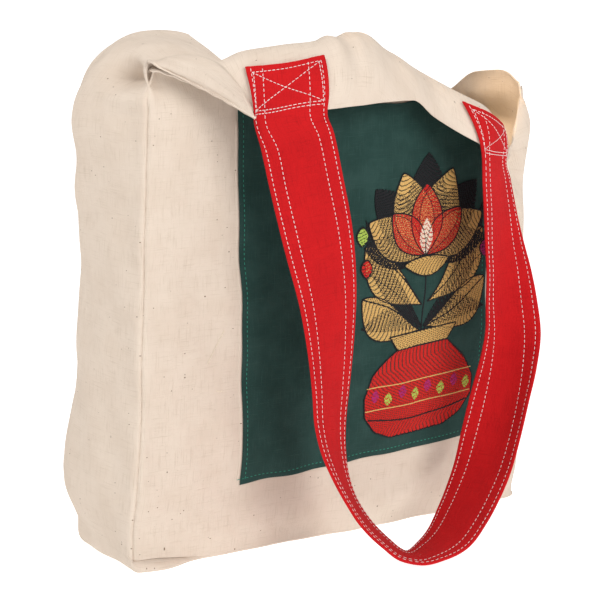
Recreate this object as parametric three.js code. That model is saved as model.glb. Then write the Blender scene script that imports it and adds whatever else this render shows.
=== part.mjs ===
// Canvas tote bag: boxed gusset, a sewn patch on the front and two wide cotton straps.
// Millimetres, +Z up. The bag stands on its base at the origin and its front faces -Y.
import * as THREE from "three";

// Cloth thicknesses, and the gap that a piece keeps to its seams and to the cloth under it
const CANVAS = 1.2;
const PATCH_CLOTH = 1.0;
const STRAP_CLOTH = 2.6;
const GAP = 0.3;
const SEAM_ROOM = 1.5;
const WIDEST_GAP = 5;

// Flat widths. A place around the bag is its distance from the middle of the front, to the right.
const PANEL = 370;
const GUSSET = 100;
const ROUND = 2 * (PANEL + GUSSET);
const FRONT_LEFT = -PANEL / 2;
const FRONT_RIGHT = PANEL / 2;
const BACK_RIGHT = FRONT_RIGHT + GUSSET;
const BACK_LEFT = BACK_RIGHT + PANEL;

// The walls meet the base at FOOT, and the base curls up to them over TUCK.
const FOOT = 9;
const TUCK = 8;

// The walls stand straight up to SHOULDER below the crown of the folded top.
const SHOULDER = 40;

// Place on the back where its cuff starts to turn up into the left gusset
const TWIST = 570;

// Patch on the front panel: side edges as places, lower and upper edge as heights up the cloth.
// Its left edge leans outward toward the top, and the lean fades out in the cloth above.
const PATCH = {
  left: -105, right: 116, lowLeft: 53, lowRight: 63, top: 324, underCrown: 20, lean: 13.5, fade: 25,
};

// Straps: width, gap to the inner face at the rim, and the place and length of each end sewn there
const STRAP_WIDTH = 53;
const STRAP_GAP = 0.8;
const STRAP_ENDS = {
  frontLeft: { at: -91, sewn: 33 },
  frontRight: { at: 107, sewn: 29 },
  backRight: { at: 375, sewn: 33 },
  backLeft: { at: 545, sewn: 33 },
};

// Rows of named columns
function table(names, ...rows) {
  return rows.map((row) => Object.fromEntries(names.map((name, i) => [name, row[i]])));
}

// Corners of the walls at each height, the radius of each corner and how far each side swells out
const LEVELS = table(
  ["z", "flX", "flY", "flR", "frX", "frY", "frR", "brX", "brY", "brR", "blX", "blY", "blR",
    "front", "right", "back", "left"],
  [FOOT, -182, -53, 8, 176, -46, 18, 178, 52, 18, -185, 50, 22, 2, 2, 3, 3],
  [27, -181, -52, 8, 180, -48, 22, 184, 56, 24, -193, 52, 26, 3, 3, 5, 4],
  [55, -176, -51, 9, 184, -49, 29, 189, 60, 32, -202, 52, 28, 3, 4, 8, 4],
  [103, -172, -50, 9, 188, -50, 34, 190, 64, 36, -191, 51, 26, 5, 5, 10, 4],
  [183, -169, -50, 9, 190, -50, 38, 190, 66, 38, -180, 50, 25, 7, 5, 12, 4],
  [253, -166, -50, 9, 190, -50, 38, 190, 66, 38, -179, 50, 25, 6, 4, 10, 4],
  [313, -163, -50, 10, 194, -49, 38, 190, 64, 38, -186, 48, 26, 4, 3, 6, 5],
  [363, -160, -49, 12, 195, -48, 38, 187, 62, 38, -181, 44, 26, 3, 2, 4, 4],
);

// How far along each corner's arc its seam runs: front left, front right, back right, back left
const SEAM_ON_ARC = [0.5, 0.75, 0.5, 0.5];

// The folded top by place: the crown that the wall bends over, the rim beyond it and the bend's roundness.
// The left gusset flops over to the right, the front turns out as a cuff, the right end stands open.
const MOUTH = table(
  ["at", "crownX", "crownY", "crownZ", "rimX", "rimY", "rimZ", "round"],
  [-285, -160, 20, 374, -115, -24, 386, 1],
  [-235, -158, -14, 375, -109, -68, 369, 0.8],
  [-185, -160, -49, 369, -102, -98, 332, 0.5],
  [-166, -151, -46, 356, -106, -92, 329, 0.8],
  [-148, -138, -48, 351, -108, -89, 327, 0.9],
  [-130, -114, -56, 358, -107, -85, 329, 1],
  [-116, -93, -64, 375, -97, -93, 330, 1],
  [-60, -37, -80, 382, -43, -103, 336, 1],
  [-22, -3, -72, 385, 2, -86, 335, 1],
  [25, 34, -56, 370, 48, -73, 334, 1],
  [50, 66, -54, 354, 66, -75, 321, 1],
  [85, 102, -62, 333, 96, -92, 300, 1],
  [138, 139, -45, 315, 138, -70, 283, 1],
  [160, 162, -44, 302, 170, -58, 297, 1],
  [185, 194, -24, 318, 186, -16, 333, 1],
  [212, 193, 6, 322, 186, 7, 342, 1],
  [235, 191, 32, 324, 183, 32, 340, 1],
  [285, 183, 62, 309, 178, 64, 321, 1],
  [310, 162, 68, 315, 159, 80, 319, 1],
  [335, 140, 70, 325, 144, 90, 300, 1],
  [381, 95, 68, 339, 98, 98, 298, 1],
  [470, 0, 62, 347, 0, 94, 304, 1],
  [520, -50, 64, 348, -44, 95, 308, 1],
  [560, -88, 60, 353, -80, 92, 313, 1],
  [582, -108, 53, 357, -98, 82, 324, 1],
  [598, -124, 47, 362, -116, 66, 352, 1],
  [612, -138, 42, 366, -128, 52, 370, 1],
  [628, -149, 34, 370, -126, 30, 377, 1],
  [655, -160, 20, 374, -115, -24, 386, 1],
);

// Soft dents and swellings of the walls: place, height up the cloth, depth and spread
const DENTS = table(
  ["at", "height", "out", "wide", "tall"],
  [-214, 350, -8, 20, 18],
  [-258, 355, 4, 18, 40],
  [60, 33, 4, 90, 26],
  [235, 299, 7, 45, 14],
  [235, 325, -6, 45, 14],
  [330, 153, -5, 40, 70],
  [540, 193, 5, 60, 60],
);

// Long creases of the walls, from one end to the other
const CREASES = table(
  ["fromAt", "fromHeight", "toAt", "toHeight", "out", "wide"],
  [100, 55, 25, 6, 4, 9],
  [-270, 253, -245, 333, 3, 14],
);

// The base cloth rolls out under the seam as a lip beside the front left corner.
const LIP = { at: -140, out: 11, along: 38, across: 8 };

// Free run of each strap: its middle, heading and rise from its outer to its inner edge, and cup depth
const STRAP_COLUMNS = ["x", "y", "z", "turn", "rise", "cup"];
const FRONT_RUN = table(
  STRAP_COLUMNS,
  [-68, -101, 314, -20.5, 0.24, 0],
  [-61, -102, 285, -12, 0.22, 0],
  [-52, -104, 241, 0, 0.17, 0],
  [-46, -106, 197, 12, 0.08, 0],
  [-45, -108, 164, 22, -0.02, 0],
  [-46, -110, 131, 30, -0.09, 0],
  [-48, -112.5, 108.5, 34, -0.13, 0],
  [-47, -115, 88.5, 39, -0.16, 0],
  [-43, -119, 68, 46, -0.19, 0],
  [-38, -124, 52, 50, -0.2, 0],
  [-29, -131, 34, 50.5, -0.21, 0],
  [-16, -138, 18.5, 52, -0.2, 0],
  [-6, -143, 9.4, 57, -0.16, 0],
  [3, -145, 6, 66, -0.14, 0],
  [22, -142.5, 7.6, 78, -0.06, 0],
  [41, -137, 13, 89, 0, 0],
  [58.5, -130, 25, 98.5, -0.03, 1],
  [72.5, -124, 38, 104.5, -0.06, 2],
  [86, -118.5, 55, 109, -0.05, 4],
  [96, -114.5, 76, 116.5, 0, 6],
  [106, -110.5, 104, 129, 0.07, 8],
  [115, -106, 132, 145, 0.14, 9],
  [121, -103, 155, 163, 0.09, 8],
  [121, -100, 178, 180, 0.02, 6],
  [122, -96, 200, 192, 0.04, 4],
  [121, -92, 223, 201, 0.02, 2],
  [120, -88, 246, 207, 0.03, 1],
  [119, -85, 268, 211, 0.03, 0],
);
const BACK_RUN = table(
  STRAP_COLUMNS,
  [-66, 98, 294, 12, 0.11, 0],
  [-63, 100, 263, 11, 0.09, 0],
  [-60, 102, 218, 8, 0.04, 0],
  [-60, 107, 163, -10, 0, 1],
  [-58, 112, 113, -30, 0.05, 1],
  [-50, 115, 69, -54, 0.13, 0],
  [-30, 118, 28, -77, 0.11, 0],
  [2, 120, 6, -87, 0.01, 0],
  [24, 120, 2.2, -90, 0, 0],
  [48, 120, 7, -93, 0.02, 0],
  [76, 118, 30, -106, 0.11, 1],
  [94, 115, 73, -132, 0.13, 2],
  [102, 111, 123, -156, 0.05, 2],
  [104, 107, 178, -172, -0.01, 1],
  [102, 105, 228, -182, -0.04, 0],
  [100, 103, 269, -188, -0.04, 0],
);

// Grid densities: columns around the bag, rows up the cloth, and rows along a strap
const COLUMNS = {
  beforePatch: 8, patch: 20, afterPatch: 9, back: 16, twist: 10, gusset: 10, strap: 4, base: 8,
};
const ROWS = { underPatch: 3, patch: 11, overPatch: 8, sewn: 5, strap: 38 };
const EDGE_STEPS = [0, 2, 5, 8.5, 14];

// Small steps for directions: along the cloth, along the crown, over the base (share), along a strap (rows)
const PROBE = 1;
const CROWN_PROBE = 8;
const BASE_PROBE = 0.0005;
const STRAP_PROBE = 0.2;

const clamp = THREE.MathUtils.clamp;

// Smooth curve through the rows of a table, without overshoot
function slopeAt(rows, key, column, i) {
  const step = (j) => (rows[j + 1][column] - rows[j][column]) / (rows[j + 1][key] - rows[j][key]);
  if (i === 0) return step(0);
  if (i === rows.length - 1) return step(i - 1);
  const before = step(i - 1);
  const after = step(i);
  return before * after <= 0 ? 0 : (2 * before * after) / (before + after);
}

function readTable(rows, key, value) {
  const last = rows.length - 1;
  const place = clamp(value, rows[0][key], rows[last][key]);
  let i = 0;
  while (i < last - 1 && place > rows[i + 1][key]) i += 1;
  const span = rows[i + 1][key] - rows[i][key];
  const t = (place - rows[i][key]) / span;
  const read = {};
  for (const column of Object.keys(rows[0])) {
    const a = rows[i][column];
    const b = rows[i + 1][column];
    const slopeA = slopeAt(rows, key, column, i) * span;
    const slopeB = slopeAt(rows, key, column, i + 1) * span;
    const bend = slopeA * (1 - t) - slopeB * t + (b - a) * (2 * t - 1);
    read[column] = a + (b - a) * t + t * (1 - t) * bend;
  }
  return read;
}

// Keeps a place within one turn of the bag, from the back left seam round to itself
function turnOnce(at) {
  const start = BACK_LEFT - ROUND;
  return start + ((((at - start) % ROUND) + ROUND) % ROUND);
}

// Corner arc of the wall outline between two sides
function cornerArc(before, corner, after, radius) {
  const into = corner.clone().sub(before).normalize();
  const out = after.clone().sub(corner).normalize();
  const turn = Math.acos(into.dot(out));
  const reach = radius * Math.tan(turn / 2);
  const start = corner.clone().addScaledVector(into, -reach);
  const centre = start.clone().add(new THREE.Vector2(-into.y, into.x).multiplyScalar(radius));
  const first = Math.atan2(start.y - centre.y, start.x - centre.x);
  const end = corner.clone().addScaledVector(out, reach);
  return { start, end, centre, radius, first, turn, length: radius * turn };
}

function onArc(arc, share) {
  const angle = arc.first + arc.turn * share;
  const out = new THREE.Vector2(Math.cos(angle), Math.sin(angle));
  return { point: arc.centre.clone().addScaledVector(out, arc.radius), out };
}

// Point of the upright wall at a place and a height
function wall(at, z) {
  const level = readTable(LEVELS, "z", z);
  const corners = ["fl", "fr", "br", "bl"].map((c) => new THREE.Vector2(level[c + "X"], level[c + "Y"]));
  const radii = [level.flR, level.frR, level.brR, level.blR];
  const swell = [level.front, level.right, level.back, level.left];
  const arcs = corners.map((corner, i) => {
    return cornerArc(corners[(i + 3) % 4], corner, corners[(i + 1) % 4], radii[i]);
  });
  const seams = [FRONT_LEFT, FRONT_RIGHT, BACK_RIGHT, BACK_LEFT, FRONT_LEFT + ROUND];
  const place = at < FRONT_LEFT ? at + ROUND : at;
  let side = 0;
  while (side < 3 && place > seams[side + 1]) side += 1;
  const share = (place - seams[side]) / (seams[side + 1] - seams[side]);
  const next = (side + 1) % 4;
  const lead = (1 - SEAM_ON_ARC[side]) * arcs[side].length;
  const straight = arcs[side].end.distanceTo(arcs[next].start);
  const tail = SEAM_ON_ARC[next] * arcs[next].length;
  const run = share * (lead + straight + tail);
  let spot;
  if (run < lead) {
    spot = onArc(arcs[side], SEAM_ON_ARC[side] + run / arcs[side].length);
  } else if (run < lead + straight) {
    const along = arcs[next].start.clone().sub(arcs[side].end).normalize();
    const point = arcs[side].end.clone().addScaledVector(along, run - lead);
    spot = { point, out: new THREE.Vector2(along.y, -along.x) };
  } else {
    spot = onArc(arcs[next], (run - lead - straight) / arcs[next].length);
  }
  const swelling = swell[side] * Math.sin(Math.PI * share) ** 2;
  spot.point.addScaledVector(spot.out, swelling);
  return new THREE.Vector3(spot.point.x, spot.point.y, z);
}

// Smooth curve between two points, with directions at its ends
function arch(a, b, directionA, directionB, t) {
  const chord = a.distanceTo(b);
  const square = t * t;
  const cube = square * t;
  return a.clone().multiplyScalar(2 * cube - 3 * square + 1)
    .addScaledVector(b, 3 * square - 2 * cube)
    .addScaledVector(directionA, chord * (cube - 2 * square + t))
    .addScaledVector(directionB, chord * (cube - square));
}

const direction = (a, b) => b.clone().sub(a).normalize();

// The mouth is read side by side, since the seams between the sides are sharp.
const SEAMS = [BACK_LEFT - ROUND, FRONT_LEFT, FRONT_RIGHT, BACK_RIGHT, BACK_LEFT];
const MOUTH_SIDES = SEAMS.slice(1).map((to, i) => MOUTH.filter((row) => row.at >= SEAMS[i] && row.at <= to));

function mouthAt(at) {
  const place = turnOnce(at);
  const mouth = readTable(MOUTH_SIDES.find((rows) => place <= rows[rows.length - 1].at), "at", place);
  const crown = new THREE.Vector3(mouth.crownX, mouth.crownY, mouth.crownZ);
  const rim = new THREE.Vector3(mouth.rimX, mouth.rimY, mouth.rimZ);
  return { crown, rim, round: mouth.round };
}

// The line up the cloth at a place: wall, crown and rim. Its bend stands square to the line of the crown.
function profile(at) {
  const { crown, rim, round } = mouthAt(at);
  const shoulderZ = crown.z - SHOULDER;
  const shoulder = wall(at, shoulderZ);
  const up = direction(wall(at, shoulderZ - PROBE), shoulder);
  const crownLine = direction(mouthAt(at - CROWN_PROBE).crown, mouthAt(at + CROWN_PROBE).crown);
  const bend = direction(shoulder, crown).add(direction(crown, rim)).projectOnPlane(crownLine).normalize();
  const into = direction(shoulder, crown).lerp(bend, round);
  const outOf = direction(crown, rim).lerp(bend, round);
  const down = direction(crown, rim).multiplyScalar(2).sub(outOf).normalize();
  const toCrown = shoulderZ + shoulder.distanceTo(crown);
  const top = toCrown + crown.distanceTo(rim);
  return { shoulderZ, shoulder, crown, rim, up, into, outOf, down, toCrown, top };
}

function smoothPoint(at, height) {
  const line = profile(at);
  if (height <= line.shoulderZ) return wall(at, height);
  if (height <= line.toCrown) {
    const t = (height - line.shoulderZ) / (line.toCrown - line.shoulderZ);
    return arch(line.shoulder, line.crown, line.up, line.into, t);
  }
  const t = (height - line.toCrown) / (line.top - line.toCrown);
  return arch(line.crown, line.rim, line.outOf, line.down, t);
}

// Unit normal of a surface given by a function of two numbers
function normalOf(surface, u, v, step) {
  const alongU = surface(u + step, v).sub(surface(u - step, v));
  const alongV = surface(u, v + step).sub(surface(u, v - step));
  return alongU.cross(alongV).normalize();
}

function bumpOut(at, height) {
  const place = turnOnce(at);
  let out = 0;
  for (const dent of DENTS) {
    const across = (turnOnce(place - dent.at + BACK_LEFT - ROUND / 2) - BACK_LEFT + ROUND / 2) / dent.wide;
    const along = (height - dent.height) / dent.tall;
    out += dent.out * Math.exp(-(across ** 2) - along ** 2);
  }
  for (const crease of CREASES) {
    const runAt = crease.toAt - crease.fromAt;
    const runHeight = crease.toHeight - crease.fromHeight;
    const length = Math.hypot(runAt, runHeight);
    const along = ((place - crease.fromAt) * runAt + (height - crease.fromHeight) * runHeight) / length ** 2;
    const across = ((place - crease.fromAt) * runHeight - (height - crease.fromHeight) * runAt) / length;
    const fade = Math.sin(Math.PI * clamp(along, 0, 1));
    out += crease.out * fade * Math.exp(-((across / crease.wide) ** 2));
  }
  return out;
}

// Middle of the cloth at a place and a height up the cloth
function cloth(at, height) {
  const point = smoothPoint(at, height);
  const out = bumpOut(at, height);
  return point.addScaledVector(normalOf(smoothPoint, at, height, PROBE), out);
}

// Unit normal of the cloth, taken on one side of a seam only
function clothNormal(at, height) {
  const seam = SEAMS.find((edge) => Math.abs(edge - at) < PROBE);
  const from = at > seam ? seam : at - PROBE;
  const to = at < seam ? seam : at + PROBE;
  const around = cloth(to, height).sub(cloth(from, height));
  const upward = cloth(at, height + PROBE).sub(cloth(at, height - PROBE));
  return around.cross(upward).normalize();
}

// A place beside a seam, moved off it as far as the fold there needs for the thickness of both cloths
function besideSeam(at, height) {
  const seam = SEAMS.find((edge) => Math.abs(edge - at) < PROBE);
  if (seam === undefined) return at;
  const fold = clothNormal(seam - GAP, height).angleTo(clothNormal(seam + GAP, height));
  const room = Math.min(GAP + SEAM_ROOM * Math.tan(fold / 2), WIDEST_GAP);
  return seam + Math.sign(at - seam) * room;
}

// A point of the cloth moved off its middle, outward for a positive distance
function offCloth(at, height, out) {
  return cloth(at, height).addScaledVector(clothNormal(at, height), out);
}

// Middle of the base: it spans the four foot lines and curls up to them.
function base(alongX, towardFront) {
  const left = (f) => cloth(BACK_LEFT - ROUND + GUSSET * f, FOOT);
  const right = (f) => cloth(BACK_RIGHT - GUSSET * f, FOOT);
  const front = (a) => cloth(FRONT_LEFT + PANEL * a, FOOT);
  const back = (a) => cloth(BACK_LEFT - PANEL * a, FOOT);
  const a = alongX;
  const f = towardFront;
  const point = left(f).multiplyScalar(1 - a).addScaledVector(right(f), a)
    .addScaledVector(back(a), 1 - f).addScaledVector(front(a), f)
    .addScaledVector(left(0), -(1 - a) * (1 - f)).addScaledVector(left(1), -(1 - a) * f)
    .addScaledVector(right(0), -a * (1 - f)).addScaledVector(right(1), -a * f);
  const rise = (distance) => Math.sqrt(1 - (1 - Math.min(distance / TUCK, 1)) ** 2);
  const fromEnds = Math.min(a, 1 - a) * PANEL;
  const fromSides = Math.min(f, 1 - f) * GUSSET;
  const flat = rise(fromEnds) * rise(fromSides);
  point.z = CANVAS / 2 + (FOOT - CANVAS / 2) * (1 - flat);
  const lipAlong = Math.exp(-(((FRONT_LEFT + PANEL * a - LIP.at) / LIP.along) ** 2));
  const lipAcross = ((1 - f) * GUSSET) / LIP.across;
  point.y -= LIP.out * lipAlong * lipAcross * Math.exp(1 - lipAcross);
  return point;
}

// Shares of a span with finer steps beside both ends
function edgeShares(span, middle) {
  const ends = EDGE_STEPS.map((step) => step / span);
  const inner = ends[ends.length - 1];
  const between = Array.from({ length: middle - 1 }, (_, i) => inner + ((1 - 2 * inner) * (i + 1)) / middle);
  return [...ends, ...between, ...ends.map((share) => 1 - share).reverse()];
}

const evenShares = (count) => Array.from({ length: count + 1 }, (_, i) => i / count);

// Closed solid from a grid of middle points and the unit normals there
function sheet(points, normals, thickness) {
  const rows = points.length;
  const columns = points[0].length;
  const positions = [];
  for (const side of [0.5, -0.5]) {
    for (let r = 0; r < rows; r += 1) {
      for (let c = 0; c < columns; c += 1) {
        const p = points[r][c].clone().addScaledVector(normals[r][c], side * thickness);
        positions.push(p.x, p.y, p.z);
      }
    }
  }
  const outer = (r, c) => r * columns + c;
  const inner = (r, c) => rows * columns + r * columns + c;
  const faces = [];
  const quad = (a, b, c, d) => faces.push(a, b, c, a, c, d);
  for (let r = 0; r < rows - 1; r += 1) {
    for (let c = 0; c < columns - 1; c += 1) {
      quad(outer(r, c), outer(r, c + 1), outer(r + 1, c + 1), outer(r + 1, c));
      quad(inner(r, c), inner(r + 1, c), inner(r + 1, c + 1), inner(r, c + 1));
    }
    quad(outer(r, 0), outer(r + 1, 0), inner(r + 1, 0), inner(r, 0));
    quad(outer(r, columns - 1), inner(r, columns - 1), inner(r + 1, columns - 1), outer(r + 1, columns - 1));
  }
  for (let c = 0; c < columns - 1; c += 1) {
    quad(outer(0, c), inner(0, c), inner(0, c + 1), outer(0, c + 1));
    quad(outer(rows - 1, c), outer(rows - 1, c + 1), inner(rows - 1, c + 1), inner(rows - 1, c));
  }
  const geometry = new THREE.BufferGeometry();
  geometry.setAttribute("position", new THREE.Float32BufferAttribute(positions, 3));
  geometry.setIndex(faces);
  geometry.computeVertexNormals();
  return geometry;
}

// Numbers from one to another in even steps, without the first where it is already there
function steps(from, to, count, first = 0) {
  return evenShares(count).slice(first).map((share) => from + (to - from) * share);
}

// Heights of the rows up the cloth at a place: below, beside and above the patch
function patchHeights(at) {
  const share = clamp((at - PATCH.left) / (PATCH.right - PATCH.left), 0, 1);
  const low = PATCH.lowLeft + (PATCH.lowRight - PATCH.lowLeft) * share;
  return steps(low, Math.min(PATCH.top, profile(at).toCrown - PATCH.underCrown), ROWS.patch);
}

function wallHeights(at, foot) {
  const beside = patchHeights(at);
  const below = steps(foot, beside[0], ROWS.underPatch).slice(0, -1);
  return [...below, ...beside, ...steps(beside[beside.length - 1], profile(at).top, ROWS.overPatch, 1)];
}

// Place of a column at a height: the columns beside the patch's left edge lean with it.
function leaned(at, height) {
  const up = clamp((height - PATCH.lowLeft) / (PATCH.top - PATCH.lowLeft), 0, 1);
  const fade = 1 - clamp((height - PATCH.top) / PATCH.fade, 0, 1);
  const before = (at - FRONT_LEFT) / (PATCH.left - FRONT_LEFT);
  const after = (PATCH.right - at) / (PATCH.right - PATCH.left);
  return at + PATCH.lean * (0.5 - up) * fade * Math.max(Math.min(before, after), 0);
}

// Piece of cloth on a list of places, with the heights of its rows given for each place
function clothPiece(places, heightsAt, thickness, off) {
  const heights = places.map(heightsAt);
  const rows = heights[0].map((_, r) => heights.map((column) => column[r]));
  const spotAt = (at, height) => ({ at: leaned(besideSeam(at, height), height), height });
  const spots = rows.map((row) => row.map((height, c) => spotAt(places[c], height)));
  const points = spots.map((row) => row.map((spot) => offCloth(spot.at, spot.height, off)));
  const normals = spots.map((row) => row.map((spot) => clothNormal(spot.at, spot.height)));
  return sheet(points, normals, thickness);
}

const patchPlaces = () => steps(PATCH.left, PATCH.right, COLUMNS.patch);

function frontPanel() {
  const before = steps(FRONT_LEFT + GAP, PATCH.left, COLUMNS.beforePatch).slice(0, -1);
  const after = steps(PATCH.right, FRONT_RIGHT - GAP, COLUMNS.afterPatch, 1);
  return clothPiece([...before, ...patchPlaces(), ...after], (at) => wallHeights(at, FOOT + GAP), CANVAS, 0);
}

function backPanel() {
  const plain = steps(BACK_RIGHT + GAP, TWIST, COLUMNS.back);
  const places = [...plain, ...steps(TWIST, BACK_LEFT - GAP, COLUMNS.twist, 1)];
  return clothPiece(places, (at) => wallHeights(at, FOOT + GAP), CANVAS, 0);
}

function patch() {
  return clothPiece(patchPlaces(), patchHeights, PATCH_CLOTH, CANVAS / 2 + GAP + PATCH_CLOTH / 2);
}

// The gusset is one strip: down the left end, across the base and up the right end.
function gusset() {
  const shares = steps(1 - GAP / GUSSET, GAP / GUSSET, COLUMNS.gusset);
  const points = [];
  const normals = [];
  const addEnd = (places, downward) => {
    const heights = places.map((at) => wallHeights(at, FOOT));
    const order = heights[0].map((_, r) => r);
    for (const r of downward ? order.reverse() : order) {
      const spots = places.map((at, i) => ({ at: besideSeam(at, heights[i][r]), height: heights[i][r] }));
      points.push(spots.map((spot) => cloth(spot.at, spot.height)));
      normals.push(spots.map((spot) => clothNormal(spot.at, spot.height)));
    }
  };
  addEnd(shares.map((share) => BACK_LEFT - ROUND + GUSSET * share), true);
  for (const a of edgeShares(PANEL, COLUMNS.base).slice(1, -1)) {
    points.push(shares.map((f) => base(a, f)));
    normals.push(shares.map((f) => normalOf(base, a, f, BASE_PROBE)));
  }
  addEnd(shares.map((share) => BACK_RIGHT - GUSSET * share), false);
  return sheet(points, normals, CANVAS);
}

// One sewn end of a strap, from its inner end to the rim. Side is 1 where the outer edge is at the left.
function sewnEnd(end, side) {
  const off = -(CANVAS / 2 + STRAP_GAP + STRAP_CLOTH / 2);
  return evenShares(ROWS.sewn).map((down) => evenShares(COLUMNS.strap).map((share) => {
    const place = end.at + side * STRAP_WIDTH * (share - 0.5);
    return offCloth(place, profile(place).top - end.sewn * (1 - down), off);
  }));
}

// Free run of a strap, as rows of points from its outer to its inner edge
function freeRun(stations) {
  const placed = stations.map((row, i) => ({ ...row, i }));
  const spot = (i) => readTable(placed, "i", i);
  const middle = (i) => new THREE.Vector3(spot(i).x, spot(i).y, spot(i).z);
  const last = stations.length - 1;
  return evenShares(ROWS.strap).map((share) => {
    const i = share * last;
    const row = spot(i);
    const along = direction(middle(Math.max(i - STRAP_PROBE, 0)), middle(Math.min(i + STRAP_PROBE, last)));
    const turn = THREE.MathUtils.degToRad(row.turn);
    const across = new THREE.Vector3(Math.cos(turn), Math.sin(turn), row.rise).normalize();
    const face = along.clone().cross(across).normalize();
    const width = STRAP_WIDTH - (8 * row.cup ** 2) / (3 * STRAP_WIDTH);
    return evenShares(COLUMNS.strap).map((w) => middle(i)
      .addScaledVector(across, width * (w - 0.5))
      .addScaledVector(face, row.cup * (0.5 - 4 * w * (1 - w))));
  });
}

function strap(start, end, startSide, stations) {
  const last = sewnEnd(end, -startSide).reverse();
  const points = [...sewnEnd(start, startSide), ...freeRun(stations), ...last];
  const near = (list, i) => list[Math.min(Math.max(i, 0), list.length - 1)];
  const normals = points.map((row, r) => row.map((_, c) => {
    const along = near(points, r + 1)[c].clone().sub(near(points, r - 1)[c]);
    const across = near(row, c + 1).clone().sub(near(row, c - 1));
    return across.cross(along).normalize();
  }));
  return sheet(points, normals, STRAP_CLOTH);
}

const COLOURS = { canvas: 0xe6d8c4, green: 0x1f4238, red: 0xc8232a };
const ROUGHNESS = { canvas: 0.9, green: 0.85, red: 0.8 };

function piece(name, geometry, fabric) {
  const look = { color: COLOURS[fabric], roughness: ROUGHNESS[fabric], metalness: 0 };
  const mesh = new THREE.Mesh(geometry, new THREE.MeshStandardMaterial(look));
  mesh.name = name;
  return mesh;
}

const tote = new THREE.Group();
tote.add(
  piece("front_panel", frontPanel(), "canvas"),
  piece("back_panel", backPanel(), "canvas"),
  piece("gusset", gusset(), "canvas"),
  piece("patch", patch(), "green"),
  piece("front_strap", strap(STRAP_ENDS.frontLeft, STRAP_ENDS.frontRight, 1, FRONT_RUN), "red"),
  piece("back_strap", strap(STRAP_ENDS.backLeft, STRAP_ENDS.backRight, -1, BACK_RUN), "red"),
);

export default tote;
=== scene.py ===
"""Canvas tote bag with a sewn patch, an embroidered bouquet and two wide cotton straps."""
import math

import bpy
import numpy as np
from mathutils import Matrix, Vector


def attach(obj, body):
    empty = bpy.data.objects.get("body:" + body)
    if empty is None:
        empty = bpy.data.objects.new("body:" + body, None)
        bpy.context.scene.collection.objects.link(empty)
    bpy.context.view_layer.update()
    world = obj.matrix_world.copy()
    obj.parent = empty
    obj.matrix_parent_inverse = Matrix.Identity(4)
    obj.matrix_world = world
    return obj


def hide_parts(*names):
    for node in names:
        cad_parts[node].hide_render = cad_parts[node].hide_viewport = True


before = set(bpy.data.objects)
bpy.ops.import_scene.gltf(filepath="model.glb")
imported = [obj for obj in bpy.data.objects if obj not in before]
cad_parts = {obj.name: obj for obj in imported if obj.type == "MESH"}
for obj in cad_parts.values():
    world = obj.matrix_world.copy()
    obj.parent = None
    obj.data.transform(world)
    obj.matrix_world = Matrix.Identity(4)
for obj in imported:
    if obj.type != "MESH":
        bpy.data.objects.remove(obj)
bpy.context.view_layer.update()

rng = np.random.default_rng(11)

# The shape below is worked out in millimetres and made in metres.
MM = 0.001

# Thickness of each cloth, and how far a sewn strap end lies from the middle of the canvas, on its inner face
CANVAS = 1.2
PATCH_CLOTH = 0.8
STRAP_CLOTH = 2.4
STRAP_OFF = 2.7

# A place around the bag is its distance from the middle of the front, to the right.
PANEL = 370
GUSSET = 100
ROUND = 2 * (PANEL + GUSSET)
FRONT_LEFT = -PANEL / 2
FRONT_RIGHT = PANEL / 2
BACK_RIGHT = FRONT_RIGHT + GUSSET
BACK_LEFT = BACK_RIGHT + PANEL
SEAMS = np.array([BACK_LEFT - ROUND, FRONT_LEFT, FRONT_RIGHT, BACK_RIGHT, BACK_LEFT])

# Usual height of the seam between walls and base, and how far in from it the base lies flat
FOOT = 9
TUCK = 8

# The walls start to bend SHOULDER below the crown of the mouth, whose direction is measured over CROWN_PROBE.
SHOULDER = 40
CROWN_PROBE = 8

# Where the seam lies on the arc of each corner, from the front left corner round to the back left
SEAM_ON_ARC = np.array([0.5, 0.75, 0.5, 0.5])

# The patch: side edges as places, the others as heights up the cloth, how far it stays below the crown, how
# its left edge leans and where that ends and fades, and what the flap hides of it
PATCH = {
    "left": -105, "right": 121, "low_left": 53, "low_right": 63, "top": 324, "under_crown": 20,
    "lean": 13.5, "lean_end": 1.05, "fade": 25, "hidden": 14,
}

# Lip of the base below the front left foot: its place, how far it shows, its spread, and the tuck above it
LIP = {"at": -162, "out": 12, "along": 27, "across": 8, "tuck": 2.6, "tuck_wide": 1.6}


def table(names, *rows):
    """Columns of numbers by name."""
    data = np.array(rows, float)
    return {name: data[:, i] for i, name in enumerate(names.split())}


def each_row(rows):
    """The rows of a table, each by column name."""
    return [dict(zip(rows, values)) for values in zip(*rows.values())]


# Place of each sewn strap end, its sewn length, how far its stitched box reaches at the outer and inner edge,
# and how much the strap gathers and shifts towards the rim: front left, front right, back left, back right
STRAP_WIDTH = 53
STRAP_ENDS = each_row(table(
    "at sewn outer inner gather shift",
    (-91, 33, 34, 33.4, 0, 0),
    (101, 23, 27, 34, 0.2, 3.5),
    (545, 33, 34, 34, 0, 0),
    (375, 33, 34, 34, 0, 0),
))

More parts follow.
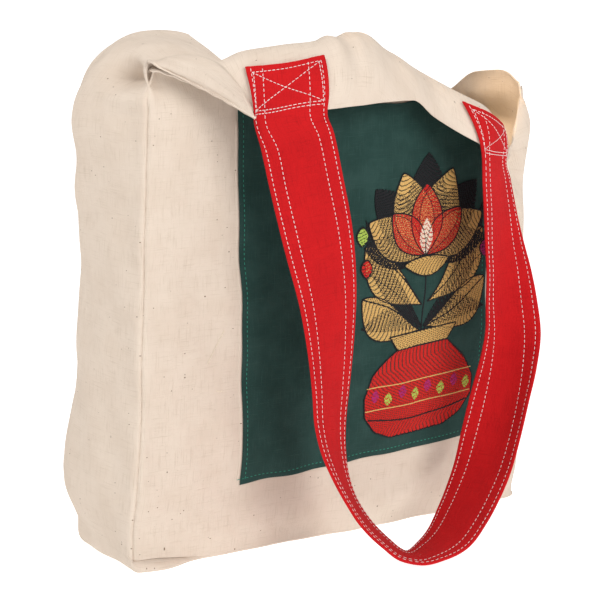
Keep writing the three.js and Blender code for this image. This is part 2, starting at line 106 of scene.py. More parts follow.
# Corners of the walls at each height, the radius of each corner and how far each side swells out
LEVELS = table(
    "z flX flY flR frX frY frR brX brY brR blX blY blR front right back left",
    (FOOT, -182, -53, 8, 176, -46, 18, 178, 52, 18, -177, 46, 22, 2, 2, 3, 3),
    (27, -181, -52, 8, 180, -48, 22, 184, 56, 24, -186, 50, 26, 3, 3, 5, 4),
    (55, -176, -51, 9, 184, -49, 29, 189, 60, 32, -202, 52, 28, 3, 4, 8, 4),
    (103, -172, -50, 9, 188, -50, 34, 190, 64, 36, -191, 51, 26, 5, 5, 10, 4),
    (183, -169, -50, 9, 190, -50, 38, 190, 66, 38, -180, 50, 25, 7, 5, 12, 4),
    (253, -166, -50, 9, 190, -50, 38, 190, 66, 38, -179, 50, 25, 6, 4, 10, 4),
    (313, -163, -50, 10, 194, -49, 38, 190, 64, 38, -186, 48, 26, 4, 3, 6, 5),
    (363, -160, -49, 12, 195, -48, 38, 187, 62, 38, -181, 44, 26, 3, 2, 4, 4),
)

# The folded top, by place: the crown that the wall bends over, the rim beyond it, and how rounded the bend is
MOUTH = table(
    "at crownX crownY crownZ rimX rimY rimZ round",
    (-285, -160, 20, 374, -115, -24, 386, 1),
    (-235, -158, -14, 375, -109, -68, 369, 0.8),
    (-185, -160, -49, 369, -102, -98, 332, 0.1),
    (-166, -151, -47, 370, -101, -91, 339, 0.8),
    (-148, -132, -50, 372, -99, -87, 343, 0.9),
    (-130, -112, -56, 369, -98, -88, 338, 1),
    (-116, -93, -64, 375, -97, -93, 330, 1),
    (-60, -37, -80, 382, -43, -103, 336, 1),
    (-22, -3, -72, 385, 2, -86, 335, 1),
    (25, 34, -56, 370, 48, -73, 334, 1),
    (50, 66, -54, 354, 66, -75, 321, 1),
    (85, 102, -62, 333, 96, -92, 300, 1),
    (138, 139, -45, 315, 138, -70, 283, 1),
    (160, 155, -44, 283, 157, -50, 280, 1),
    (185, 195, -24, 318, 192, -18, 334, 1),
    (212, 194, 6, 322, 189, 7, 343, 1),
    (235, 191, 32, 324, 183, 32, 340, 1),
    (285, 183, 62, 309, 178, 64, 321, 1),
    (310, 162, 68, 315, 159, 80, 319, 1),
    (335, 140, 70, 325, 144, 90, 300, 1),
    (381, 95, 68, 339, 98, 98, 298, 1),
    (470, 0, 62, 347, 0, 94, 304, 1),
    (520, -50, 64, 348, -44, 95, 308, 1),
    (560, -88, 60, 353, -80, 92, 313, 1),
    (582, -108, 53, 357, -98, 82, 324, 1),
    (598, -124, 47, 362, -116, 66, 352, 1),
    (612, -138, 42, 366, -128, 52, 370, 1),
    (628, -149, 34, 370, -126, 30, 377, 1),
    (655, -160, 20, 374, -115, -24, 386, 1),
)

# Soft dents and swellings: place, height up the cloth, depth and spread
DENTS = table(
    "at height out wide tall",
    (-213, 363, -20, 23, 13),
    (-205, 344, 5, 27, 7),
    (-174, 357, -5, 7, 12),
    (-152, 338, 6, 24, 26),
    (-258, 355, 4, 18, 40),
    (60, 33, 4, 90, 26),
    (235, 299, 7, 45, 14),
    (235, 325, -6, 45, 14),
    (330, 153, -5, 40, 70),
    (540, 193, 5, 60, 60),
    (-52, 400, -2.2, 5, 26),
    (-38, 405, 1.6, 6, 22),
    (-28, 402, -1.8, 5, 24),
)

# Long creases, from one end to the other
CREASES = table(
    "fromAt fromHeight toAt toHeight out wide",
    (100, 55, 25, 6, 4, 9),
    (-270, 253, -245, 333, 3, 14),
    (-128, 330, -120, 240, -1.2, 6),
    (-168, 120, -150, 250, 0.9, 10),
    (-162, 218, -112, 166, -1.4, 9),
    (-150, 122, -108, 96, 1.1, 7),
    (-262, 120, -215, 180, 1.6, 14),
    (-20, 52, 60, 30, -1.6, 10),
)

# Free run of each strap: its middle, heading and rise from its outer to its inner edge, and cup depth
FRONT_RUN = table(
    "x y z turn rise cup",
    (-69, -101, 314, -30, 0.24, 0),
    (-62.5, -102, 285, -27, 0.22, 0),
    (-53, -104, 241, -12, 0.17, 0),
    (-46, -106, 197, 8, 0.08, 0),
    (-45, -108, 164, 19, -0.02, 0),
    (-46, -110, 131, 28, -0.09, 0),
    (-48, -112.5, 108.5, 33, -0.13, 0),
    (-47, -115, 88.5, 39, -0.16, 0),
    (-43, -119, 68, 46, -0.19, 0),
    (-38, -124, 52, 50, -0.2, 0),
    (-29, -131, 34, 50.5, -0.21, 0),
    (-16, -138, 18.5, 52, -0.2, 0),
    (-6, -143, 9.4, 57, -0.16, 0),
    (3, -145, 6, 66, -0.14, 0),
    (22, -142.5, 7.6, 78, -0.06, 0),
    (41, -137, 13, 89, 0, 0),
    (58.5, -130, 25, 98.5, -0.03, 1),
    (72.5, -124, 38, 104.5, -0.06, 2),
    (86, -118.5, 55, 109, -0.05, 4),
    (96.5, -114.5, 76, 116, 0, 8),
    (107.5, -110.5, 104, 127, 0.07, 12),
    (117, -106, 132, 145, 0.14, 14),
    (121, -103, 155, 163, 0.09, 13),
    (120.5, -100, 178, 180, 0.02, 10),
    (121, -96, 200, 192, 0.04, 7),
    (120, -92, 223, 201, 0.02, 4),
    (120, -88, 246, 207, 0.03, 1),
    (119, -85, 268, 211, 0.03, 0),
)
BACK_RUN = table(
    "x y z turn rise cup",
    (-66, 98, 294, 12, 0.11, 0),
    (-63, 100, 263, 11, 0.09, 0),
    (-60, 102, 218, 8, 0.04, 0),
    (-60, 107, 163, -10, 0, 1),
    (-58, 112, 113, -30, 0.05, 1),
    (-50, 115, 69, -54, 0.13, 0),
    (-30, 118, 28, -77, 0.11, 0),
    (2, 120, 6, -87, 0.01, 0),
    (24, 120, 2.2, -90, 0, 0),
    (48, 120, 7, -93, 0.02, 0),
    (76, 118, 30, -106, 0.11, 1),
    (94, 115, 73, -132, 0.13, 2),
    (102, 111, 123, -156, 0.05, 2),
    (104, 107, 178, -172, -0.01, 1),
    (102, 105, 228, -182, -0.04, 0),
    (100, 103, 269, -188, -0.04, 0),
)

# Height of the seam between the walls and the base, lower along most of the front and higher at the back left
FOOTS = table("at height", (-285, 22), (-225, 13), (-185, FOOT), (-162, 8), (-126, 2.8), (185, 3.2),
              (285, FOOT), (590, FOOT), (655, 22))


def unit(v):
    return v / np.maximum(np.linalg.norm(v, axis=-1, keepdims=True), 1e-9)


def dot(a, b):
    return np.sum(a * b, axis=-1, keepdims=True)


def bell(x):
    """A smooth hump, 1 at 0."""
    return np.exp(-(x**2))


def slopes(x, y):
    """Slopes of a curve through the rows of a table that doesn't overshoot."""
    step = np.diff(y) / np.diff(x)
    before, after = step[:-1], step[1:]
    total = np.where(before + after == 0, 1, before + after)
    inner = np.where(before * after > 0, 2 * before * after / total, 0)
    return np.concatenate([step[:1], inner, step[-1:]])


def read(rows, key, values):
    """Every column of a table at the given values of its key column."""
    x = rows[key]
    place = np.clip(values, x[0], x[-1])
    i = np.clip(np.searchsorted(x, place) - 1, 0, len(x) - 2)
    span = x[i + 1] - x[i]
    t = (place - x[i]) / span
    found = {}
    for name, y in rows.items():
        slope = slopes(x, y)
        a, b = y[i], y[i + 1]
        bend = slope[i] * span * (1 - t) - slope[i + 1] * span * t + (b - a) * (2 * t - 1)
        found[name] = a + (b - a) * t + t * (1 - t) * bend
    return found


def turn_once(at):
    return SEAMS[0] + np.mod(at - SEAMS[0], ROUND)


def foot_of(at):
    return np.interp(turn_once(at), FOOTS["at"], FOOTS["height"])


def leaned(at, height):
    """Places of the front's columns, which lean with the left edge of the patch."""
    up = np.clip((height - PATCH["low_left"]) / (PATCH["top"] - PATCH["low_left"]), 0, PATCH["lean_end"])
    fade = 1 - np.clip((height - PATCH["top"] - PATCH["hidden"]) / PATCH["fade"], 0, 1)
    before = (at - FRONT_LEFT) / (PATCH["left"] - FRONT_LEFT)
    after = (PATCH["right"] - at) / (PATCH["right"] - PATCH["left"])
    return at + PATCH["lean"] * (0.5 - up) * fade * np.maximum(np.minimum(before, after), 0)


def wall(at, z):
    """Points of the upright wall."""
    level = read(LEVELS, "z", z)
    names = ("fl", "fr", "br", "bl")
    corner = np.stack([np.stack([level[name + "X"], level[name + "Y"]], -1) for name in names])
    radius = np.stack([level[name + "R"] for name in names])
    swell = np.stack([level[side] for side in ("front", "right", "back", "left")])
    into = unit(corner - np.roll(corner, 1, 0))
    out = unit(np.roll(corner, -1, 0) - corner)
    turn = np.arccos(np.clip(dot(into, out)[..., 0], -1, 1))
    reach = (radius * np.tan(turn / 2))[..., None]
    start, end = corner - into * reach, corner + out * reach
    centre = start + np.stack([-into[..., 1], into[..., 0]], -1) * radius[..., None]
    first = np.arctan2(start[..., 1] - centre[..., 1], start[..., 0] - centre[..., 0])
    length = radius * turn
    place = np.where(at < FRONT_LEFT, at + ROUND, at)
    bounds = np.append(SEAMS[1:], FRONT_LEFT + ROUND)
    side = np.clip(np.searchsorted(bounds, place) - 1, 0, 3)
    after = (side + 1) % 4
    share = (place - bounds[side]) / (bounds[side + 1] - bounds[side])

    def at_side(values, which):
        index = which[None, ..., None] if values.ndim > which.ndim + 1 else which[None]
        return np.take_along_axis(values, index, 0)[0]

    def on_arc(which, part):
        angle = at_side(first, which) + at_side(turn, which) * part
        away = np.stack([np.cos(angle), np.sin(angle)], -1)
        return at_side(centre, which) + away * at_side(radius, which)[..., None], away

    lead = (1 - SEAM_ON_ARC[side]) * at_side(length, side)
    gap = at_side(start, after) - at_side(end, side)
    straight = np.linalg.norm(gap, axis=-1)
    run = share * (lead + straight + SEAM_ON_ARC[after] * at_side(length, after))
    along = unit(gap)
    lead_spot, lead_out = on_arc(side, SEAM_ON_ARC[side] + run / at_side(length, side))
    tail_spot, tail_out = on_arc(after, (run - lead - straight) / at_side(length, after))
    spot = at_side(end, side) + along * (run - lead)[..., None]
    away = np.stack([along[..., 1], -along[..., 0]], -1)
    in_lead = (run < lead)[..., None]
    in_tail = (run >= lead + straight)[..., None]
    spot = np.where(in_lead, lead_spot, np.where(in_tail, tail_spot, spot))
    away = np.where(in_lead, lead_out, np.where(in_tail, tail_out, away))
    spot = spot + away * (at_side(swell, side) * np.sin(np.pi * share) ** 2)[..., None]
    return np.concatenate([spot, np.broadcast_to(z, place.shape)[..., None]], -1)


def mouth(at):
    """Crown, rim and roundness of the folded top. Each side is read by itself, since the seams are sharp."""
    place = turn_once(at)
    found = {name: np.zeros(place.shape) for name in MOUTH}
    for low, high in zip(SEAMS[:-1], SEAMS[1:]):
        rows = (MOUTH["at"] >= low) & (MOUTH["at"] <= high)
        here = (place > low) & (place <= high) if low > SEAMS[0] else (place >= low) & (place <= high)
        part = read({name: column[rows] for name, column in MOUTH.items()}, "at", place[here])
        for name in found:
            found[name][here] = part[name]
    crown, rim = (np.stack([found[part + axis] for axis in "XYZ"], -1) for part in ("crown", "rim"))
    return crown, rim, found["round"][..., None]


def hermite(a, b, slope_a, slope_b, t):
    """Smooth curve from a to b with the given slopes at both."""
    return (a * (2 * t**3 - 3 * t**2 + 1) + b * (3 * t**2 - 2 * t**3)
            + slope_a * (t**3 - 2 * t**2 + t) + slope_b * (t**3 - t**2))


def arch(a, b, direction_a, direction_b, t):
    """Curve from a to b that leaves and arrives in the given directions."""
    chord = np.linalg.norm(b - a, axis=-1, keepdims=True)
    return hermite(a, b, direction_a * chord, direction_b * chord, t[..., None])


def profile(at):
    """The line up the cloth at each place: wall, crown and rim."""
    crown, rim, round_share = mouth(at)
    shoulder_z = crown[..., 2] - SHOULDER
    shoulder = wall(at, shoulder_z)
    up = unit(shoulder - wall(at, shoulder_z - 1))
    rise, fall = unit(crown - shoulder), unit(rim - crown)
    line = unit(mouth(at + CROWN_PROBE)[0] - mouth(at - CROWN_PROBE)[0])
    bend = unit(rise + fall - line * dot(rise + fall, line))
    out_of = fall + (bend - fall) * round_share
    to_crown = shoulder_z + np.linalg.norm(crown - shoulder, axis=-1)
    return {
        "shoulder_z": shoulder_z, "shoulder": shoulder, "crown": crown, "rim": rim, "up": up,
        "into": rise + (bend - rise) * round_share, "out_of": out_of, "down": unit(2 * fall - out_of),
        "to_crown": to_crown, "top": to_crown + np.linalg.norm(rim - crown, axis=-1),
    }


def top_of(at):
    return profile(np.asarray(at, float))["top"]


def smooth(at, height):
    """Middle of the cloth at places and heights up the cloth, before its dents."""
    line = profile(at)
    t = np.clip((height - line["shoulder_z"]) / (line["to_crown"] - line["shoulder_z"]), 0, 1)
    s = (height - line["to_crown"]) / (line["top"] - line["to_crown"])
    low = wall(at, np.minimum(height, line["shoulder_z"]))
    bend = arch(line["shoulder"], line["crown"], line["up"], line["into"], t)
    over = arch(line["crown"], line["rim"], line["out_of"], line["down"], s)
    under_shoulder = (height <= line["shoulder_z"])[..., None]
    under_crown = (height <= line["to_crown"])[..., None]
    return np.where(under_shoulder, low, np.where(under_crown, bend, over))


# Faint waves all over the cloth, each with a length, a direction and a phase
WAVE_COUNT = 16
WAVE_LENGTHS = (34, 95)
WAVE_DEPTH = 0.28
WAVES = [
    (rng.uniform(*WAVE_LENGTHS), rng.uniform(0, np.pi), rng.uniform(0, 2 * np.pi)) for _ in range(WAVE_COUNT)
]

# The groove along each seam and the ridge of canvas along the left edge of the patch
SEAM_GROOVE = {"deep": 1.5, "wide": 1.2, "pucker": 0.3, "pitch": 1.9}
PATCH_RIDGE = {"off": 1.3, "high": 0.8, "wide": 0.75}


def bump(at, height):
    """How far the cloth stands out of its smooth shape."""
    place = turn_once(at)
    out = np.zeros(place.shape)
    for dent in each_row(DENTS):
        across = (np.mod(place - dent["at"] + ROUND / 2, ROUND) - ROUND / 2) / dent["wide"]
        out += dent["out"] * np.exp(-across**2 - ((height - dent["height"]) / dent["tall"]) ** 2)
    for crease in each_row(CREASES):
        run = np.array([crease["toAt"] - crease["fromAt"], crease["toHeight"] - crease["fromHeight"]])
        length = np.hypot(*run)
        x, y = place - crease["fromAt"], height - crease["fromHeight"]
        along = np.clip((x * run[0] + y * run[1]) / length**2, 0, 1)
        across = (x * run[1] - y * run[0]) / length
        out += crease["out"] * np.sin(np.pi * along) * bell(across / crease["wide"])
    for length, way, phase in WAVES:
        out += WAVE_DEPTH * np.sin(2 * np.pi * (place * np.cos(way) + height * np.sin(way)) / length + phase)
    to_seam = np.min(np.abs(place[..., None] - SEAMS), axis=-1)
    pucker = 1 + SEAM_GROOVE["pucker"] * np.sin(height / SEAM_GROOVE["pitch"])
    out -= SEAM_GROOVE["deep"] * pucker * bell(to_seam / SEAM_GROOVE["wide"])
    beside_patch = (height > PATCH["low_left"]) & (height < PATCH["top"])
    off = (place - leaned(PATCH["left"], height) + PATCH_RIDGE["off"]) / PATCH_RIDGE["wide"]
    return out + beside_patch * PATCH_RIDGE["high"] * bell(off)


def grid_normals(points):
    across = np.gradient(points, axis=1)
    along = np.gradient(points, axis=0)
    return unit(np.cross(across, along))


def cloth(at, height):
    """Points and normals of a grid of cloth, rows going up and columns to the right."""
    points = smooth(at, height)
    points = points + grid_normals(points) * bump(at, height)[..., None]
    return points, grid_normals(points)


def cloth_at(at, height, step=0.6):
    """Points and normals of the cloth at single places."""
    grid_at = at[:, None, None] + np.array([[-step, 0, step]] * 3)
    grid_height = height[:, None, None] + np.array([[-step] * 3, [0] * 3, [step] * 3])

    def normals_of(points):
        return unit(np.cross(points[:, 1, 2] - points[:, 1, 0], points[:, 2, 1] - points[:, 0, 1]))

    points = smooth(grid_at, grid_height)
    points = points + normals_of(points)[:, None, None] * bump(grid_at, grid_height)[..., None]
    return points[:, 1, 1], normals_of(points)


# A seam's far side is looked at SEAM_PROBE beyond it, and a fold is sharp below this cosine between normals.
SEAM_PROBE = 1.5
SHARP_FOLD = -0.2


def mitre(normals, rows, heights, column, seam, *sides):
    """Turns the normals at a seam halfway to the cloth on the given sides of it, unless the fold is sharp."""
    here = smooth(np.full(heights.shape, seam), heights)
    upward = np.gradient(here, axis=0) * np.sign(heights[-1] - heights[0])
    own = normals[rows, column].copy()
    best = own
    for away in sides:
        beyond = smooth(np.full(heights.shape, seam + SEAM_PROBE * away), heights)
        other = unit(np.cross((beyond - here) * away, upward))
        best = best + np.where(dot(own, other) > SHARP_FOLD, other, own) / len(sides)
    normals[rows, column] = unit(best)


def run_length(line):
    """Length along a line of points, up to each of them."""
    return np.concatenate([[0], np.cumsum(np.linalg.norm(np.diff(line, axis=0), axis=1))])


def spread(low, high, step, near=(0, 0.6, 1.3, 2.2, 3.4, 5)):
    """Numbers from low to high in even steps, and at the given distances from both ends."""
    inner_low, inner_high = low + near[-1], high - near[-1]
    count = max(2, round((inner_high - inner_low) / step))
    middle = np.linspace(inner_low, inner_high, count + 1)[1:-1]
    return np.concatenate([low + np.array(near), middle, high - np.array(near)[::-1]])


SHARP_EDGE = math.radians(70)


def mesh_object(name, points, faces, uv, material):
    mesh = bpy.data.meshes.new(name)
    mesh.from_pydata((points * MM).tolist(), [], faces.tolist())
    layer = mesh.uv_layers.new(name="cloth")
    corners = np.zeros(len(mesh.loops), int)
    mesh.loops.foreach_get("vertex_index", corners)
    layer.data.foreach_set("uv", (uv[corners] * MM).ravel())
    mesh.polygons.foreach_set("use_smooth", np.ones(len(mesh.polygons), bool))
    mesh.set_sharp_from_angle(angle=SHARP_EDGE)
    mesh.materials.append(material)
    piece = bpy.data.objects.new(name, mesh)
    bpy.context.scene.collection.objects.link(piece)
    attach(piece, "root")
    return piece


def sheet(name, points, normals, half, uv, material):
    """Closed two-sided sheet from a grid of middle points. Half is its half thickness."""
    rows, columns = points.shape[:2]
    shift = normals * np.broadcast_to(half, (rows, columns))[..., None]
    both = np.concatenate([(points + shift).reshape(-1, 3), (points - shift).reshape(-1, 3)])
    outer = np.arange(rows * columns).reshape(rows, columns)
    inner = outer + rows * columns

    def quads(a, b, c, d):
        return np.stack([a.ravel(), b.ravel(), c.ravel(), d.ravel()], -1)

    faces = [
        quads(outer[:-1, :-1], outer[:-1, 1:], outer[1:, 1:], outer[1:, :-1]),
        quads(inner[:-1, :-1], inner[1:, :-1], inner[1:, 1:], inner[:-1, 1:]),
        quads(outer[:-1, 0], outer[1:, 0], inner[1:, 0], inner[:-1, 0]),
        quads(outer[:-1, -1], inner[:-1, -1], inner[1:, -1], outer[1:, -1]),
        quads(outer[0, :-1], inner[0, :-1], inner[0, 1:], outer[0, 1:]),
        quads(outer[-1, :-1], outer[-1, 1:], inner[-1, 1:], inner[-1, :-1]),
    ]
    flat = uv.reshape(-1, 2)
    return mesh_object(name, both, np.concatenate(faces), np.concatenate([flat, flat]), material)


# Materials
def feed(tree, socket, value):
    """Links a socket to another one, or sets its value."""
    if isinstance(value, bpy.types.NodeSocket):
        tree.links.new(value, socket)
    else:
        socket.default_value = value


def set_inputs(tree, made, **inputs):
    for name, value in inputs.items():
        feed(tree, made.inputs[name.replace("_", " ")], value)


def node(tree, kind, settings=None, **inputs):
    made = tree.nodes.new(kind)
    for name, value in (settings or {}).items():
        setattr(made, name, value)
    set_inputs(tree, made, **inputs)
    return made


def new_material(name):
    material = bpy.data.materials.new(name)
    material.use_nodes = True
    tree = material.node_tree
    shader = next(n for n in tree.nodes if n.type == "BSDF_PRINCIPLED")
    return material, tree, shader


def ramp(tree, value, low, high):
    """A share from 0 at low to 1 at high."""
    eased = {"interpolation_type": "SMOOTHSTEP"}
    return node(tree, "ShaderNodeMapRange", eased, Value=value, From_Min=low, From_Max=high).outputs["Result"]


def mix(tree, share, a, b):
    """The colour at a share of the way from a to b."""
    made = node(tree, "ShaderNodeMix", {"data_type": "RGBA"})
    factor = next(s for s in made.inputs if s.type == "VALUE" and s.name == "Factor" and s.enabled)
    colours = [s for s in made.inputs if s.type == "RGBA"]
    for socket, value in zip((factor, *colours), (share, a, b)):
        feed(tree, socket, value)
    return next(s for s in made.outputs if s.type == "RGBA")


def math_node(tree, operation, a, b):
    made = node(tree, "ShaderNodeMath", {"operation": operation})
    for socket, value in zip(made.inputs, (a, b)):
        feed(tree, socket, value)
    return made.outputs[0]


def on_cloth(tree):
    return node(tree, "ShaderNodeUVMap", {"uv_map": "cloth"}).outputs["UV"]


def scaled(tree, coordinates, x, y):
    return node(tree, "ShaderNodeMapping", Vector=coordinates, Scale=(x, y, 1)).outputs["Vector"]


def noise(tree, coordinates, scale, detail=3.0, rough=0.55):
    return node(tree, "ShaderNodeTexNoise", Vector=coordinates, Scale=scale, Detail=detail,
                Roughness=rough).outputs["Fac"]


# Repeats per metre of cloth: blotches of shade, the width and length of thick threads, and crumples
BLOTCHES = 34.0
SLUBS = 1500.0
WARP_SLUBS = 55.0
WEFT_SLUBS = 50.0
CRUMPLES = 95.0

# How much thick threads tint the cloth and stand out, and how much the weave shades it
SLUB_TINT = 0.62
SLUB_RELIEF = 1.6
WEAVE_SHADE = 0.09

# Seed flecks: repeats per metre, size and stretch of each kind, and how much wider their soft edge is
FLECKS = ((62.0, 0.022, 1.0), (38.0, 0.013, 0.45), (120.0, 0.036, 1.3))
FLECK_EDGE = 2.2

# Noise values between which each feature fades in
SHOWN = {
    "blotch": (0.36, 0.72), "warp": (0.52, 0.78), "weft": (0.54, 0.8), "fleck": (0.3, 0.5),
    "twist": (0.4, 0.75),
}

# A wave texture turns this many radians per metre for each unit of its scale.
WAVE_TURN = 20


def cloth_material(name, colour, shade, thread, slub, roughness, sheen, mottle=1.0, fleck=None):
    """Plain weave: colour with mottling, uneven threads both ways, and flecks of seed where given."""
    material, tree, shader = new_material(name)
    place = on_cloth(tree)
    blotch = ramp(tree, noise(tree, place, BLOTCHES, 4.0), *SHOWN["blotch"])
    tint = mix(tree, math_node(tree, "MULTIPLY", blotch, mottle), colour, shade)
    warp = noise(tree, scaled(tree, place, SLUBS, WARP_SLUBS), 1.0, 2.0)
    weft = noise(tree, scaled(tree, place, WEFT_SLUBS, SLUBS), 1.0, 2.0)
    streaks = math_node(tree, "ADD", ramp(tree, warp, *SHOWN["warp"]), ramp(tree, weft, *SHOWN["weft"]))
    tint = mix(tree, math_node(tree, "MULTIPLY", streaks, SLUB_TINT), tint, slub)
    for scale, size, stretch in FLECKS if fleck else ():
        cell = node(tree, "ShaderNodeTexVoronoi", Vector=scaled(tree, place, 1.0, stretch), Scale=scale)
        away = ramp(tree, cell.outputs["Distance"], size, size * FLECK_EDGE)
        speck = math_node(tree, "SUBTRACT", 1.0, away)
        chosen = node(tree, "ShaderNodeSeparateColor", Color=cell.outputs["Color"])
        some = ramp(tree, chosen.outputs["Red"], *SHOWN["fleck"])
        tint = mix(tree, math_node(tree, "MULTIPLY", speck, some), tint, fleck)
    turns = 2 * math.pi / (WAVE_TURN * thread * MM)
    bands = []
    for direction in "XY":
        settings = {"wave_type": "BANDS", "wave_profile": "SIN", "bands_direction": direction}
        band = node(tree, "ShaderNodeTexWave", settings, Vector=place, Scale=turns, Distortion=0.6)
        bands.append(band.outputs["Fac"])
    weave = math_node(tree, "ADD", *bands)
    weave = math_node(tree, "ADD", weave, math_node(tree, "MULTIPLY", streaks, SLUB_RELIEF))
    relief = node(tree, "ShaderNodeBump", Height=weave, Strength=0.55, Distance=0.00018)
    crumple = noise(tree, place, CRUMPLES, 5.0, 0.6)
    soft = node(tree, "ShaderNodeBump", Height=crumple, Strength=0.5, Distance=0.0014,
                Normal=relief.outputs["Normal"])
    tint = mix(tree, math_node(tree, "MULTIPLY", weave, WEAVE_SHADE), tint, slub)
    set_inputs(tree, shader, Base_Color=tint, Normal=soft.outputs["Normal"], Roughness=roughness,
               Sheen_Weight=sheen, Sheen_Roughness=0.5, Specular_IOR_Level=0.15)
    return material


def thread_material(name, colour, shade):
    material, tree, shader = new_material(name)
    twist = noise(tree, scaled(tree, on_cloth(tree), 900.0, 2600.0), 1.0, 2.0)
    tint = mix(tree, ramp(tree, twist, *SHOWN["twist"]), colour, shade)
    relief = node(tree, "ShaderNodeBump", Height=twist, Strength=0.5, Distance=0.0002)
    set_inputs(tree, shader, Base_Color=tint, Normal=relief.outputs["Normal"], Roughness=0.6,
               Sheen_Weight=0.02, Specular_IOR_Level=0.2)
    return material


canvas = cloth_material(
    "canvas_cloth", (0.71, 0.60, 0.50, 1), (0.665, 0.55, 0.45, 1), thread=0.62, slub=(0.58, 0.47, 0.37, 1),
    roughness=0.92, sheen=0.04, mottle=0.8, fleck=(0.11, 0.055, 0.025, 1),
)
green = cloth_material(
    "green_weave", (0.014, 0.044, 0.037, 1), (0.025, 0.064, 0.055, 1), thread=0.45,
    slub=(0.034, 0.078, 0.068, 1), roughness=0.85, sheen=0.03,
)
red = cloth_material(
    "red_weave", (0.53, 0.008, 0.010, 1), (0.46, 0.006, 0.009, 1), thread=0.75, slub=(0.38, 0.005, 0.007, 1),
    roughness=0.9, sheen=0.01, mottle=0.7,
)
THREAD_COLOURS = {
    "white": ((0.74, 0.66, 0.64, 1), (0.60, 0.50, 0.48, 1)),
    "teal": ((0.03, 0.30, 0.20, 1), (0.02, 0.20, 0.13, 1)),
    "gold": ((0.66, 0.42, 0.145, 1), (0.50, 0.29, 0.085, 1)),
    "scarlet": ((0.60, 0.018, 0.012, 1), (0.40, 0.010, 0.010, 1)),
    "black": ((0.012, 0.012, 0.014, 1), (0.004, 0.004, 0.005, 1)),
    "magenta": ((0.40, 0.022, 0.16, 1), (0.26, 0.014, 0.10, 1)),
    "lime": ((0.42, 0.56, 0.10, 1), (0.28, 0.38, 0.06, 1)),
    "cream": ((0.80, 0.70, 0.56, 1), (0.66, 0.55, 0.42, 1)),
}
threads = {name: thread_material(name + "_thread", *pair) for name, pair in THREAD_COLOURS.items()}


# Panels: steps between columns, rows as shares of the height, and columns beside the left edge of the patch
FINE_STEP = 2.6
BACK_STEP = 3.6
PANEL_ROWS = np.concatenate([[0, 0.0015, 0.0035, 0.006], np.linspace(0.009, 0.996, 168), [0.9985, 1]])
RIDGE_COLUMNS = np.array([-1.4, -0.9, -0.45, 0, 0.45, 0.9, 1.4])
BEFORE_RIDGE = 3.5
AFTER_RIDGE = 2


def panel(name, places, left, right):
    foot = foot_of(leaned(places, foot_of(places)))
    height = foot + (top_of(places) - foot) * PANEL_ROWS[:, None]
    at = leaned(np.broadcast_to(places, height.shape), height)
    points, normals = cloth(at, height)
    mitre(normals, slice(None), height[:, 0], 0, left, -1)
    mitre(normals, slice(None), height[:, -1], -1, right, 1)
    return sheet(name, points, normals, CANVAS / 2, np.stack([at, height], -1), canvas)


front_places = np.concatenate([
    spread(FRONT_LEFT, PATCH["left"] - BEFORE_RIDGE, FINE_STEP),
    PATCH["left"] - PATCH_RIDGE["off"] + RIDGE_COLUMNS,
    spread(PATCH["left"] + AFTER_RIDGE, FRONT_RIGHT, FINE_STEP, range(6)),
])
front = panel("front_panel_cloth", front_places, FRONT_LEFT, FRONT_RIGHT)
back = panel("back_panel_cloth", spread(BACK_RIGHT, BACK_LEFT, BACK_STEP), BACK_RIGHT, BACK_LEFT)


# Gusset: rows of each end as shares from the rim down, and columns of the base
END_ROWS = np.concatenate([np.linspace(0, 0.985, 150), [0.99, 0.994, 0.9975]])
BASE_STEP = 5
BASE_NEAR = (0, 0.25, 0.8, 1.6, 2.8, 4.2, 6, 8, 11)


def base(a, f):
    """Middle of the base, at shares to the right and forward. It curls up to the foot lines around it."""

    def edge(at):
        return cloth_at(at.ravel(), foot_of(at).ravel())[0].reshape(at.shape + (3,))

    def rise(distance):
        return np.sqrt(1 - (1 - np.minimum(distance / TUCK, 1)) ** 2)

    left, right = edge(SEAMS[0] + GUSSET * f), edge(BACK_RIGHT - GUSSET * f)
    ahead, behind = edge(FRONT_LEFT + PANEL * a), edge(BACK_LEFT - PANEL * a)
    corners = [edge(np.full(a.shape, at)) for at in (SEAMS[0], FRONT_LEFT, BACK_RIGHT, FRONT_RIGHT)]
    a1, f1 = a[..., None], f[..., None]
    points = (left * (1 - a1) + right * a1 + behind * (1 - f1) + ahead * f1 - corners[0] * (1 - a1) * (1 - f1)
              - corners[1] * (1 - a1) * f1 - corners[2] * a1 * (1 - f1) - corners[3] * a1 * f1)
    flat = rise(np.minimum(a, 1 - a) * PANEL) * rise(np.minimum(f, 1 - f) * GUSSET)
    points[..., 2] = CANVAS / 2 + (points[..., 2] - CANVAS / 2) * (1 - flat)
    along = bell((FRONT_LEFT + PANEL * a - LIP["at"]) / LIP["along"])
    behind_front = (1 - f) * GUSSET
    across = behind_front / LIP["across"]
    tucked = LIP["tuck"] * bell(behind_front / LIP["tuck_wide"])
    points[..., 1] += along * (tucked - LIP["out"] * across * np.exp(1 - across))
    return points


